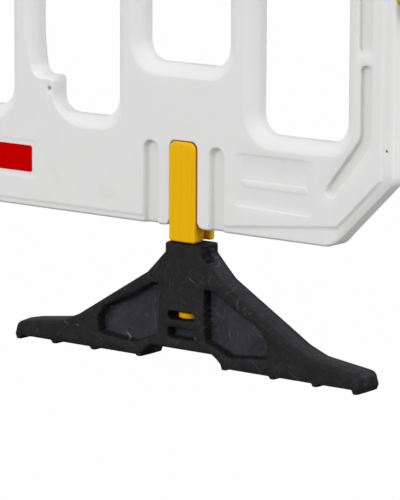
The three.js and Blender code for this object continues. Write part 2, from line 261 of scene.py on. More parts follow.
class Recess:
    """A crisp recess (or, with a negative depth, a boss): a closed loop and a wall profile.

    The profile is a list of (distance inside the loop, share of the depth). The function scale
    stretches those distances along parts of the loop.
    """

    def __init__(self, loop, depth, profile, scale=None):
        self.loop, self.depth, self.profile = loop, depth, profile
        self.scale = scale(*loop.T) if scale else np.ones(len(loop))

    def depth_at(self, x, z):
        reach = -self.profile[0][0] + 0.5
        far = loop_depth(x, z, self.loop, reach, self.scale)
        offsets, shares = zip(*self.profile)
        return self.depth * np.interp(far, offsets, shares)

    def rings(self):
        normals = inward_normals(self.loop)
        return [self.loop + normals * distance * self.scale[:, None] for distance, _ in self.profile]


# Wall profiles of recesses.
CRISP = [(-0.5, 0), (0.1, 0.06), (0.5, 0.36), (1.3, 0.84), (1.8, 0.97), (2.4, 1)]
FAINT = [(-1.2, 0), (-0.2, 0.2), (0.6, 0.7), (1.5, 1)]


def lattice(low, high, fine, levels, depth):
    """A square lattice and a mask that keeps nodes densely only where the surface bends.

    The finest spacing is fine, and each further level doubles it.
    """
    i = np.arange(math.floor(low[0] / fine), math.ceil(high[0] / fine) + 1)
    k = np.arange(math.floor(low[1] / fine), math.ceil(high[1] / fine) + 1)
    gi, gk = np.meshgrid(i, k, indexing="ij")
    surface = depth((gi * fine).ravel(), (gk * fine).ravel()).reshape(gi.shape)
    bend = np.zeros_like(surface)
    for axis in (0, 1):
        second = np.abs(np.diff(surface, 2, axis=axis)) / fine ** 2
        pad = [(1, 1) if a == axis else (0, 0) for a in (0, 1)]
        bend = np.maximum(bend, np.pad(second, pad, mode="edge"))
    need = np.sqrt(8 * SAG / (bend + 1e-9))
    keep = (gi % 2 ** (levels - 1) == 0) & (gk % 2 ** (levels - 1) == 0)
    for level in range(levels - 1):
        stride = 2 ** level
        wanted = need <= fine * stride * 2
        for _ in range(2 * stride):
            grown = wanted.copy()
            grown[1:] |= wanted[:-1]
            grown[:-1] |= wanted[1:]
            grown[:, 1:] |= wanted[:, :-1]
            grown[:, :-1] |= wanted[:, 1:]
            wanted = grown
        keep |= wanted & (gi % stride == 0) & (gk % stride == 0)
    return i, k, keep


def block_near(i, k, keep, fine, lines):
    """Clears lattice nodes that crowd the points of a line."""
    for line in lines:
        near_i = np.rint(line[:, 0] / fine).astype(int)
        near_k = np.rint(line[:, 1] / fine).astype(int)
        for di in (-1, 0, 1):
            for dk in (-1, 0, 1):
                a, b = near_i + di, near_k + dk
                apart = np.hypot(a * fine - line[:, 0], b * fine - line[:, 1])
                a, b = a - i[0], b - k[0]
                hit = (apart < fine * CROWDING) & (a >= 0) & (b >= 0) & (a < len(i)) & (b < len(k))
                keep[a[hit], b[hit]] = False


def make_piece(name, points, polygons):
    """A closed mesh from points in millimetres."""
    mesh = bpy.data.meshes.new(name)
    mesh.from_pydata((np.asarray(points) * MM).tolist(), [], polygons)
    bm = bmesh.new()
    bm.from_mesh(mesh)
    bmesh.ops.remove_doubles(bm, verts=bm.verts, dist=3e-6)
    bmesh.ops.recalc_face_normals(bm, faces=bm.faces)
    bm.to_mesh(mesh)
    bm.free()
    mesh.shade_smooth()
    return show(name, mesh)


def nothing(x, z):
    """The depth of a flat face."""
    return np.zeros(np.shape(x))


class Sheet:
    """The front half of a plate: points with their heights, loops, and the faces round its rims."""

    def __init__(self, height):
        self.height = height
        self.flat, self.heights, self.count = [], [], 0
        self.loops, self.quads, self.strips = [], [], []

    def add(self, points, drop=0.0):
        """Adds points, lowered by drop, and returns their numbers."""
        self.flat.append(points)
        self.heights.append(np.maximum(self.height(points[:, 0], points[:, 1], drop), 0))
        first, self.count = self.count, self.count + len(points)
        return list(range(first, self.count))

    def add_rim(self, points, scale, roll, outer, closed, half):
        """Adds a rolled edge, ring by ring, from the rim up to the face."""
        normals = inward_normals(points, closed) * (1 if outer else -1)
        if not closed:
            normals[[0, -1], 0] = 0
            normals[[0, -1]] = unit(normals[[0, -1]])
        scale = np.broadcast_to(np.asarray(scale, float), (len(points),))[:, None]
        size = len(points)
        last = size if closed else size - 1
        rows = []
        for distance, drop in roll:
            ring = points + normals * distance * scale
            rows.append(self.add(ring, drop))
        for low, high in zip(rows, rows[1:]):
            around = [[low[i], low[(i + 1) % size], high[(i + 1) % size], high[i]] for i in range(last)]
            self.quads += around if outer else [quad[::-1] for quad in around]
        self.loops.append([rows[-1], ring])
        if roll[0][1] < half:
            self.strips.append([rows[0], last, outer])

    def add_seam(self):
        """Closes an open outline along x = 0, where the mirrored half joins."""
        ids, ring = self.loops[0]
        seam = resample(np.array([ring[-1], ring[0]]), 2.0, closed=False)[1:-1]
        self.loops[0] = [ids + self.add(seam), np.vstack([ring, seam])]

    def fill(self, rims, soft, fine, levels):
        """Adds a lattice inside the rims and joins everything into triangles."""
        border = self.loops[0][1]
        i, k, keep = lattice(border.min(0), border.max(0), fine, levels, soft)
        block_near(i, k, keep, fine, [resample(ring, fine * 0.4) for _, ring in self.loops])
        at = np.argwhere(keep)
        grid = np.stack([i[at[:, 0]] * fine, k[at[:, 1]] * fine], 1)
        within = inside(grid, border)
        for _, ring in self.loops[1:rims]:
            within &= ~inside(grid, ring)
        loose = self.add(grid[within])
        flat = np.vstack(self.flat)
        index, edges = [], []
        for ids, _ in self.loops:
            first = len(index)
            index += ids
            edges += [(first + n, first + (n + 1) % len(ids)) for n in range(len(ids))]
        index += loose
        triangles, origin = delaunay_2d_cdt([Vector(flat[n]) for n in index], edges, [], 1, 1e-7)[2:4]
        lookup = np.array([index[o[0]] if o else -1 for o in origin])
        faces = lookup[np.array(triangles)]
        faces = faces[faces.min(1) >= 0]
        middle = flat[faces].mean(1)
        kept = np.ones(len(faces), bool)
        for _, ring in self.loops[1:rims]:
            kept &= ~inside(middle, ring)
        faces = faces[kept]
        across, along = flat[faces[:, 1]] - flat[faces[:, 0]], flat[faces[:, 2]] - flat[faces[:, 0]]
        area = across[:, 0] * along[:, 1] - across[:, 1] * along[:, 0]
        return flat, np.where((area > 0)[:, None], faces, faces[:, ::-1])


def relief(name, outline, holes, half, recesses, soft=nothing, fine=8.0, levels=1, mirror=False):
    """A plate whose two faces follow a depth function and recesses, with its edges rolled over.

    outline and each hole are (points, scale, roll). roll lists (distance in from the rim, drop from
    the face); scale stretches those distances along the rim. With mirror, the outline is an open
    line that starts and ends on x = 0, and the other half of the plate is its mirror image.
    """
    def height(x, z, drop):
        return half - drop - (soft(x, z) + sum(r.depth_at(x, z) for r in recesses))

    sheet = Sheet(height)
    for number, (points, scale, roll) in enumerate([outline] + holes):
        sheet.add_rim(points, scale, roll, number == 0, number > 0 or not mirror, half)
    if mirror:
        sheet.add_seam()
    for recess in recesses:
        sheet.loops += [[sheet.add(ring), ring] for ring in recess.rings()]
    flat, faces = sheet.fill(len(holes) + 1, soft, fine, levels)
    heights = np.concatenate(sheet.heights)
    shift = len(flat)
    front = np.stack([flat[:, 0], -heights, flat[:, 1]], 1)
    points = np.vstack([front, front * [1, -1, 1]])
    polygons = sheet.quads + faces.tolist()
    polygons += [[v + shift for v in p[::-1]] for p in polygons]
    for rim, last, outer in sheet.strips:
        for n in range(last):
            a, b = rim[n], rim[(n + 1) % len(rim)]
            quad = [a, a + shift, b + shift, b]
            polygons.append(quad if outer else quad[::-1])
    if mirror:
        total = len(points)
        points = np.vstack([points, points * [-1, 1, 1]])
        polygons += [[v + total for v in p[::-1]] for p in polygons]
    return make_piece(name, points, polygons)


def bevelled(depth, reach, power, steps, flat=0.7):
    """An edge between a chamfer (power 1) and a quarter ellipse (power 2), from the rim up."""
    angles = [math.pi / 2 * k / steps for k in range(steps + 1)]
    bend = 2 / power
    arc = [(reach * (1 - math.cos(a) ** bend), depth * (1 - math.sin(a) ** bend)) for a in angles]
    return [(0, depth + flat)] + arc + [(reach + flat, 0)]


# ---- panel ----
def film_boxes():
    """The recess round each film of the panel's right half, as x0, z0, x1, z1."""
    border = FILM_RECESS["border"]
    boxes = []
    for node in FILM_NODES:
        low, high = node_box(node)
        if "front" in node and high[0] > 0:
            boxes.append([low[0] - border, low[2] - border, high[0] + border, high[2] + border])
    return boxes


FILM_BOXES = film_boxes()


def border_step(out, low):
    """Depth of the stepped border, deeper towards the end post and most on its diagonal."""
    far = np.full(np.shape(out), np.inf)
    for a, b in zip(STEP_LINE, STEP_LINE[1:]):
        far = np.minimum(far, line_distance(out, low, a, b))
    bends = np.array(STEP_LINE[:-2])
    line = np.interp(out, bends[:, 0], bends[:, 1])
    inner = (out < STEP_LINE[-1][0]) & (low > line)
    beyond = np.clip(np.where(inner, 0, far) / STEP_REACH, 0, 1)
    ending = smooth((out - 240) / 25)
    diagonal = ending * smooth((300 - low) / 20)
    step = STEP_DEPTH * (1 - (1 - beyond) ** 2.4) * (1 + 0.6 * ending + 0.6 * diagonal)
    return step * np.where(out < 0, 0.65, 1.0)


def groove(out, z, hand):
    """Depth of the soft groove on one side of the foot; its wall nearer the foot is softer."""
    centre = hand * GROOVE["offset"]
    off = line_distance(out, z, (centre, -500), (centre, GROOVE["top"] - GROOVE["half"]))
    away = smooth((hand * (out - centre) + 4) / 8)
    soft = GROOVE["inner"] + (GROOVE["outer"] - GROOVE["inner"]) * away
    return GROOVE["depth"] * smooth((GROOVE["half"] + 1 - off) / soft)


def clamp_recess(out, z):
    """Depth of the recess that holds a clamp's cheek; it flares at the panel's lower edge."""
    flare = CLAMP_RECESS["flare"]
    rise = np.clip(BOTTOM + flare - z, 0, flare)
    half = CLAMP_HALF + CLAMP_RECESS["gap"] + flare - np.sqrt(flare ** 2 - rise ** 2)
    top = CLAMP_HIGH[2] + CLAMP_RECESS["gap"]
    far = box_distance(out, z, -half, -500, half, top, CLAMP_RECESS["corner"])
    return CLAMP_RECESS["depth"] * smooth((far + 0.3) / 1.8)


def panel_soft(x, z):
    """Depth below the panel's face: the border, and what is round each foot and film."""
    out = np.abs(x) - AXIS
    low = MIDDLE - np.abs(z - MIDDLE)
    between = (z < MIDDLE) * smooth((BETWEEN_GROOVES - np.abs(out)) / 8)
    depth = border_step(out, low) * (1 - between)
    for hand in (-1, 1):
        depth = np.maximum(depth, groove(out, z, hand))
    depth = np.maximum(depth, clamp_recess(out, z))
    for x0, z0, x1, z1 in FILM_BOXES:
        far = box_distance(np.abs(x), z, x0, z0, x1, z1, FILM_RECESS["corner"])
        depth = np.maximum(depth, FILM_RECESS["depth"] * smooth((far + 2.5) / 5))
    return depth


def bent_slot(flip):
    """The loop of the slot in an end post, above or below the panel's middle."""
    half, x = SLOT["half"], SLOT["x"]
    bend, tip = np.array([x, SLOT["bend"]]), np.array(SLOT["tip"])
    along = (tip - bend) / np.linalg.norm(tip - bend)
    side = np.array([along[1], -along[0]])
    end = tip + along * half
    corner = half * math.tan(math.acos(-along[1]) / 2)
    points = rounded([
        [x + half, bend[1] - corner, SLOT_CORNERS["outer"]],
        [x + half, SLOT["top"] + half, SLOT_CORNERS["top"]],
        [x - half, SLOT["top"] + half, SLOT_CORNERS["top"]],
        [x - half, bend[1] + corner, SLOT_CORNERS["inner"]],
        [*(end + side * half), SLOT_CORNERS["tip"]],
        [*(end - side * half), SLOT_CORNERS["tip"]],
    ])
    if flip:
        points = (points * [1, -1] + [0, 2 * MIDDLE])[::-1]
    return resample(points, 6)


def lug_window(x0, x1):
    """The window with the lug, whose edges are rounded less round the lug."""
    step, top = x0 + LUG_WIDTH, SILL + LUG_HEIGHT
    points = rounded([
        [step, SILL, LUG_CORNERS["root"]], [x1, SILL, WINDOW_CORNER], [x1, LINTEL, WINDOW_CORNER],
        [x0, LINTEL, WINDOW_CORNER], [x0, top, LUG_CORNERS["jamb"]], [step, top, LUG_CORNERS["tip"]],
    ], 7.5)
    points = resample(points, lambda x, z: 3 if x < 490 and z < 420 else 40)
    away = np.maximum((points[:, 0] - step - 7) / 36, (points[:, 1] - top - 4.5) / 60)
    return points, LUG_ROUND_SHARE + (1 - LUG_ROUND_SHARE) * smooth(away)


def panel_windows():
    edge = bevelled(HALF_DEPTH - WINDOW_LAND / 2, BAR_ROUND, 1.45, 10)
    holes = []
    for centre in WINDOW_CENTRES:
        sill = SILL_OVER_FOOT if abs(centre - AXIS) < 10 else SILL
        x0, x1 = centre - WINDOW_HALF, centre + WINDOW_HALF
        if centre == LUG_WINDOW:
            holes.append((*lug_window(x0, x1), edge))
            continue
        points = rounded(rectangle(x0, sill, x1, LINTEL, WINDOW_CORNER), 7.5)
        holes.append((resample(points, 40), 1.0, edge))
    return holes


def panel_outline():
    leg = CHAMFER
    low, end = CHAMFER_CORNERS
    points = rounded([
        [0, BOTTOM, 0], [HALF_LENGTH - leg, BOTTOM, low], [HALF_LENGTH, BOTTOM + leg, end],
        [HALF_LENGTH, TOP - leg, end], [HALF_LENGTH - leg, TOP, low], [0, TOP, 0],
    ], 6)

    def step(x, z):
        """Short where the clamp's recess and the grooves reach the lower edge."""
        return 1.3 if z < BOTTOM + 2 and 18 < abs(x - AXIS) < 78 else 12

    points = resample(points, step, closed=False)
    steep = smooth((np.abs(points[:, 1] - MIDDLE) - MIDDLE + BOTTOM + leg + 10) / 24)
    scale = 1 + (1.7 + 0.3 * steep) * smooth((points[:, 0] - HALF_LENGTH + leg - 6) / 24)
    return points, scale, bevelled(OUTER_ROUND, OUTER_ROUND, 1.6, 7)


def panel_recesses():
    def slot_scale(x, z):
        """Softer walls at the slot's tip."""
        return 1 + 1.4 * smooth((280 - MIDDLE + np.abs(z - MIDDLE)) / 12)

    def plaque_scale(x, z):
        """Softer walls at the plaque's ends than along it."""
        return 1 + 2.5 * smooth((np.abs(x - AXIS - 150) - 54) / 10)

    half, low = POST["half"], POST["low"]
    post = rectangle(POST["x"] - half, low, POST["x"] + half, 2 * MIDDLE - low, POST["corner"])
    angles = np.radians(np.arange(0, 360, 18))
    hole = np.stack([np.cos(angles), np.sin(angles)], 1) * LUG_HOLE["radius"]
    return [
        Recess(bent_slot(False), SLOT["depth"], CRISP, slot_scale),
        Recess(bent_slot(True), SLOT["depth"], CRISP, slot_scale),
        Recess(resample(rounded(post), 25), POST["depth"], CRISP),
        Recess(resample(rounded(PLAQUE), 6), PLAQUE_DEPTH, FAINT, plaque_scale),
        Recess(resample(rounded(rectangle(*PLAQUE_BAR)), 12), -PLAQUE_BAR_HEIGHT, FAINT),
        Recess(hole + [LUG_HOLE["x"], LUG_HOLE["z"]], LUG_HOLE["depth"], CRISP),
    ]


def draft_lug(panel):
    """Slopes the lug's free side back towards the panel's rear face."""
    edge = LUG_WINDOW - WINDOW_HALF + LUG_WIDTH
    for vertex in panel.data.vertices:
        x, y, z = vertex.co / MM
        if abs(abs(x) - edge) < 32 and SILL - 12 < z < SILL + 52:
            side = smooth((abs(x) - edge + 17) / 17) - smooth((abs(x) - edge) / 32)
            up = smooth((z - SILL + 12) / 12) - smooth((z - SILL - 44) / 8)
            vertex.co.x -= math.copysign(LUG_DRAFT * MM, x) * side * up * (y / HALF_DEPTH + 1) / 2


def cut_vent(panel):
    """A small round vent in the front of one end post."""
    x, z, radius, depth = VENT["x"], VENT["z"], VENT["radius"], VENT["depth"]
    pit = turned("pit", [(0, -depth), (radius * 0.8, -depth), (radius, 2), (0, 2)], parts=24)
    place = Matrix.Translation((x * MM, -HALF_DEPTH * MM, z * MM))
    pit.data.transform(place @ Matrix.Rotation(math.pi / 2, 4, "X"))
    combine(panel, pit, "DIFFERENCE", "MANIFOLD")
    panel.data.shade_smooth()
    for face in panel.data.polygons:
        across = math.hypot(face.center.x / MM - x, face.center.z / MM - z)
        if across < radius + 0.1 and -HALF_DEPTH + 0.2 < face.center.y / MM < 0:
            face.use_smooth = False


def make_panel():
    panel = relief("panel", panel_outline(), panel_windows(), HALF_DEPTH, panel_recesses(), panel_soft,
                   fine=1.25, levels=5, mirror=True)
    draft_lug(panel)
    cut_vent(panel)
    return panel


# ---- films ----
def make_film(node):
    low, high = node_box(node)
    thick = (high[1] - low[1]) / 2
    outline = resample(rounded(rectangle(low[0], low[2], high[0], high[2], 3.0), 9), 20)
    edge = bevelled(thick * 0.6, thick, 2, 3, 0.05)
    piece = relief(node + "_skin", (outline, 1.0, edge), [], thick, [], fine=10)
    piece.data.transform(Matrix.Translation((0, (low[1] + high[1]) / 2 * MM, 0)))
    return piece


# ---- turned and cut pieces ----
def turned(name, profile, centre=(0, 0), parts=64):
    """Turns a closed half profile of (radius, z), listed from the bottom up, about a vertical line."""
    points, polygons = [], []
    rows = []
    for radius, z in profile:
        if radius == 0:
            rows.append([len(points)] * parts)
            points.append((centre[0], centre[1], z))
            continue
        rows.append(list(range(len(points), len(points) + parts)))
        for n in range(parts):
            angle = 2 * math.pi * n / parts
            x, y = radius * math.cos(angle), radius * math.sin(angle)
            points.append((centre[0] + x, centre[1] + y, z))
    for low, high in zip(rows, rows[1:]):
        for n in range(parts):
            m = (n + 1) % parts
            corners = [low[n], low[m], high[m], high[n]]
            polygons.append(list(dict.fromkeys(corners)))
    return make_piece(name, points, polygons)


def block(name, low, high, round_by, steps=3):
    """A box with every edge rounded."""
    bm = bmesh.new()
    bmesh.ops.create_cube(bm, size=1)
    size = np.array(high) - np.array(low)
    middle = (np.array(high) + np.array(low)) / 2
    for v in bm.verts:
        v.co = Vector((np.array(v.co) * size + middle) * MM)
    bmesh.ops.bevel(bm, geom=bm.edges[:], offset=round_by * MM, segments=steps, profile=0.5, affect="EDGES")
    mesh = bpy.data.meshes.new(name)
    bm.to_mesh(mesh)
    bm.free()
    return show(name, mesh)


def combine(piece, tool, operation, solver="EXACT"):
    """Joins or cuts a piece with a tool, which is used up."""
    change = piece.modifiers.new("combine", "BOOLEAN")
    change.operation = operation
    change.object = tool
    change.solver = solver
    bpy.context.view_layer.update()
    result = bpy.data.meshes.new_from_object(piece.evaluated_get(bpy.context.evaluated_depsgraph_get()))
    piece.modifiers.clear()
    old = piece.data
    piece.data = result
    bpy.data.meshes.remove(old)
    bpy.data.objects.remove(tool)
    return piece


def sharpen(piece, degrees):
    """Smooth shading, broken along edges that turn by more than an angle."""
    piece.data.shade_smooth()
    piece.data.set_sharp_from_angle(angle=math.radians(degrees))
    return piece


# ---- feet ----
# Each rib's distance from the foot's middle and its clearance over the ground.
RIBS = [(73, 3.5), (154, 2.0), (224, 1.4), (289, 0.0)]
RIB_TIP = 6.0
RIB_ROOT = 11.5
RIB_ROUND = 1.2
SOLE = 5.6
FIRST_RIB_ROOT = 10.7
POCKET_DEPTH = 15.0
POCKET_WALL = [(-1.5, 0), (-0.8, 0.025), (-0.1, 0.10), (0.5, 0.27), (1.4, 0.80), (2.0, 0.95), (2.8, 1)]
FOOT_EDGE = [(1.3, 5.0), (1.7, 3.0), (2.3, 1.5), (3.2, 0.5), (4.2, 0.1), (5.2, 0)]
SLOT_EDGE = [(0.1, 1.4), (0.2, 0.8), (0.6, 0.15), (1.1, 0), (1.5, 0)]
# Slots: half width, low, high and corner radius.
DISC_SLOT = (22.9, 63, 75, 5.6)
LOWER_SLOT = (22.4, 37.2, 52.4, 3.6)
BORE_RADIUS = 13.8
BORE_FLOOR = 70.0
NOTCH = {"near": 24.5, "far": 42, "back": 19, "front": 2, "low": 144, "high": 160, "round": 5.0}
POCKET = [
    [37, 110, 4], [41, 39, 4], [82, 22.5, 6], [143, 28, 5], [146, 49, 5], [133.5, 67, 5], [50, 110, 4],
]


def foot_half_outline():
    """Corners of the foot's right half, from under its middle round to its top."""
    sole = []
    for middle, tip in RIBS:
        root = FIRST_RIB_ROOT if middle == RIBS[0][0] else SOLE
        sole += [
            [middle - RIB_ROOT / 2, root, RIB_ROUND], [middle - RIB_TIP / 2, tip, RIB_ROUND],
            [middle + RIB_TIP / 2, tip, RIB_ROUND], [middle + RIB_ROOT / 2, SOLE, RIB_ROUND],
        ]
    end = FOOT_HALF_LENGTH
    return [
        [50.5, 20.5, 4], *sole[:-1], [end, 7.5, 1.5], [end, 26, 12], [279.4, 28.9, 8],
        [214.2, 37.4, 50], [184.6, 49.3, 50], [62.6, 124.5, 6], [31.3, 156, 3],
        [31.3, FOOT_TOP, 5.2],
    ]


def mirrored(corners):
    return [[-x, z, r] for x, z, r in corners][::-1]


def slot_corners(half, low, high, corner):
    return rectangle(-half, low, half, high, corner)


def foot_recesses():
    def slope(x, z):
        """1 along a pocket's steep walls, more along its soft upper side."""
        side = (np.abs(x) - 50) / (133.5 - 50)
        above = z - (110 - 43 * side)
        return 1 + 2.6 * (np.abs(above) < 2) * np.sin(np.pi * np.clip(side, 0, 1)) ** 2

    loops = [rounded(POCKET, 11), rounded(mirrored(POCKET), 11), rounded(slot_corners(*LOWER_SLOT), 15)]
    return [Recess(resample(loop, 5), POCKET_DEPTH, POCKET_WALL, slope) for loop in loops]


def make_foot(name, axis):
    half = foot_half_outline()
    outline = resample(rounded(half + mirrored(half), 7.5), 9)
    low, high = smooth((outline[:, 1] - 9) / 9), smooth((outline[:, 1] - 140) / 12)
    scale = 0.2 + 0.95 * low - 0.25 * high
    roll = [(0, FOOT_HALF_DEPTH), (0.06, FOOT_HALF_DEPTH - 0.6), *FOOT_EDGE]
    hole = resample(rounded(slot_corners(*DISC_SLOT), 11), 10)
    hole_roll = [(0, FOOT_HALF_DEPTH), (0, FOOT_HALF_DEPTH - 1), *SLOT_EDGE]
    foot = relief(name, (outline, scale, roll), [(hole, 1.0, hole_roll)], FOOT_HALF_DEPTH, foot_recesses())
    for vertex in foot.data.vertices:
        vertex.co.y *= 1.04 - 0.12 * float(smooth((vertex.co.z / MM - 45) / 90))
    above = FOOT_TOP + 5
    bore = [(0, BORE_FLOOR), (BORE_RADIUS, BORE_FLOOR), (BORE_RADIUS, above), (0, above)]
    combine(foot, turned("bore", bore, (0.05, 0.2)), "DIFFERENCE")
    for hand in (-1, 1):
        x0, x1 = sorted([hand * NOTCH["near"], hand * NOTCH["far"]])
        y0, y1 = sorted([-hand * NOTCH["back"], hand * NOTCH["front"]])
        notch = block("notch", (x0, y0, NOTCH["low"]), (x1, y1, NOTCH["high"]), NOTCH["round"], 5)
        combine(foot, notch, "DIFFERENCE")
    foot.data.transform(Matrix.Translation((axis * MM, 0, 0)))
    return sharpen(foot, 40)


# ---- foot clamps ----
CHEEK_CORNER = 11.0
CHEEK_FOOT_CORNER = 4.0
CHEEK_THICK = 9.5
CHEEK_HEIGHT = 137.1
CHEEK_ROLL = [(0, 2.8), (0, 2.0), (0.25, 1.15), (0.8, 0.45), (1.7, 0.1), (2.8, 0), (3.3, 0)]
WEB_HALF = 12.0
STEM_RADIUS = 13.0
DISC = {"radius": 17.1, "low": 64.5, "high": 72.7}


def make_clamp(name, axis):
    """Two cheeks joined by a web, on a stem that ends in a retaining disc."""
    low, high, half = CLAMP_HIGH[2] - CHEEK_HEIGHT, CLAMP_HIGH[2], CLAMP_HALF
    corners = [
        [-half, low, CHEEK_FOOT_CORNER], [half, low, CHEEK_FOOT_CORNER],
        [half, high, CHEEK_CORNER], [-half, high, CHEEK_CORNER],
    ]
    outline = resample(rounded(corners, 9), 12)
    scale = 1 + 1.6 * smooth((outline[:, 1] - high + 12) / 9)
    clamp = None
    for side in (-1, 1):
        cheek = relief("cheek", (outline, scale, CHEEK_ROLL), [], CHEEK_THICK / 2, [])
        cheek.data.transform(Matrix.Translation((0, side * (CLAMP_FACE - CHEEK_THICK / 2) * MM, 0)))
        clamp = combine(clamp, cheek, "UNION") if clamp else cheek
    depth = CLAMP_FACE - 4
    combine(clamp, block("web", (-WEB_HALF, -depth, low), (WEB_HALF, depth, BOTTOM - 0.3), 1.0), "UNION")
    radius, bottom, top = DISC["radius"], DISC["low"], DISC["high"]
    combine(clamp, turned("stem", [
        (0, bottom), (radius - 1.4, bottom), (radius - 0.5, bottom + 0.4), (radius, bottom + 1.4),
        (radius, top - 1.4), (radius - 0.5, top - 0.4), (radius - 1.4, top), (STEM_RADIUS, top),
        (STEM_RADIUS, low + 4), (0, low + 4),
    ]), "UNION")
    clamp.name = clamp.data.name = name
    clamp.data.transform(Matrix.Translation((axis * MM, 0, 0)))
    return sharpen(clamp, 40)


# ---- end couplings ----
FLANGE = {"half_width": 12.5, "half_height": 29, "thick": 5.0, "corner": 6}
FLANGE_HOLES = {"spacing": 40, "half": 2.5}
FLANGE_HOLE_EDGE = [(0, 0.8), (0, 0.4), (0.15, 0.1), (0.4, 0)]
ARM = {"half_width": 11.5, "half_height": 6, "round": 0.8}
KNUCKLE = 16.5
EYE = 10.5
PEG = 9.0


def make_flange(name, middle):
    """The flange as a plate in the XZ plane, with two screw holes."""
    width, height, thick = FLANGE["half_width"], FLANGE["half_height"], FLANGE["thick"]
    plate = rectangle(-width, middle - height, width, middle + height, FLANGE["corner"])
    outline = resample(rounded(plate, 9), 10)
    holes = []
    for side in (-1, 1):
        z, half = middle + side * FLANGE_HOLES["spacing"] / 2, FLANGE_HOLES["half"]
        hole = rounded(rectangle(-half, z - half, half, z + half, half - 0.01), 15)
        holes.append((resample(hole, 5), 1.0, FLANGE_HOLE_EDGE))
    return relief(name, (outline, 1.0, bevelled(1.2, 1.2, 2, 4, 0.4)), holes, thick / 2, [], fine=5)


def make_coupling(node):
    """A flange on the panel's end with an arm to a peg or an eye."""
    low, high = node_box(node)
    side = 1 if high[0] > 0 else -1
    near = min(abs(low[0]), abs(high[0]))
    centre = side * (max(abs(low[0]), abs(high[0])) - KNUCKLE)
    pegged = "peg" in node
    middle = high[2] - FLANGE["half_height"] if pegged else (low[2] + high[2]) / 2
    piece = make_flange(node + "_cast", middle)
    piece.data.transform(Matrix.Rotation(math.pi / 2, 4, "Z"))
    piece.data.transform(Matrix.Translation((side * (near + FLANGE["thick"] / 2) * MM, 0, 0)))
    x0, x1 = sorted([side * (near + 1), centre])
    width, height = ARM["half_width"], ARM["half_height"]
    arm = block("arm", (x0, -width, middle - height), (x1, width, middle + height), ARM["round"])
    combine(piece, arm, "UNION")
    low_face, high_face = middle - height, middle + height
    combine(piece, turned("knuckle", [
        (0, low_face), (KNUCKLE - 1, low_face), (KNUCKLE - 0.3, low_face + 0.3), (KNUCKLE, low_face + 1),
        (KNUCKLE, high_face - 1), (KNUCKLE - 0.3, high_face - 0.3), (KNUCKLE - 1, high_face), (0, high_face),
    ], (centre, 0)), "UNION")
    if pegged:
        tip = low[2]
        combine(piece, turned("peg", [
            (0, tip), (PEG - 3, tip), (PEG - 1.6, tip + 0.5), (PEG - 0.5, tip + 2), (PEG, tip + 4),
            (PEG, middle), (0, middle),
        ], (centre, 0)), "UNION")
    else:
        combine(piece, turned("eye", [
            (0, low_face - 2), (EYE + 1, low_face - 2), (EYE + 1, low_face), (EYE, low_face + 1),
            (EYE, high_face - 1), (EYE + 1, high_face), (EYE + 1, high_face + 2), (0, high_face + 2),
        ], (centre, 0)), "DIFFERENCE")
    return sharpen(piece, 40)


# ---- coupling screws ----
SHANK = 2.2
HEAD_HEIGHT = 3.0
SOCKET = {"radius": 1.9, "depth": 1.8}


def make_screw(node):
    """A pan head screw with a hexagon socket; its axis lies along X."""
    low, high = node_box(node)
    radius = (high[2] - low[2]) / 2
    length = high[0] - low[0]
    under = length - HEAD_HEIGHT
    screw = turned(node + "_turned", [
        (0, 0), (SHANK - 0.5, 0), (SHANK, 0.5), (SHANK, under), (radius - 0.3, under),
        (radius, length - 2.6), (radius, length - 1.5), (radius - 0.5, length - 0.7),
        (radius - 1.4, length - 0.15), (radius - 2.2, length), (0, length),
    ], parts=48)
    wide, floor = SOCKET["radius"], length - SOCKET["depth"]
    socket = [(0, floor), (wide, floor + 0.2), (wide, length + 1), (0, length + 1)]
    combine(screw, turned("socket", socket, parts=6), "DIFFERENCE")
    side = 1 if high[0] > 0 else -1
    place = Matrix.Translation((side * min(abs(low[0]), abs(high[0])) * MM, 0, (low[2] + high[2]) / 2 * MM))
    screw.data.transform(place @ Matrix.Rotation(side * math.pi / 2, 4, "Y"))
    return sharpen(screw, 35)


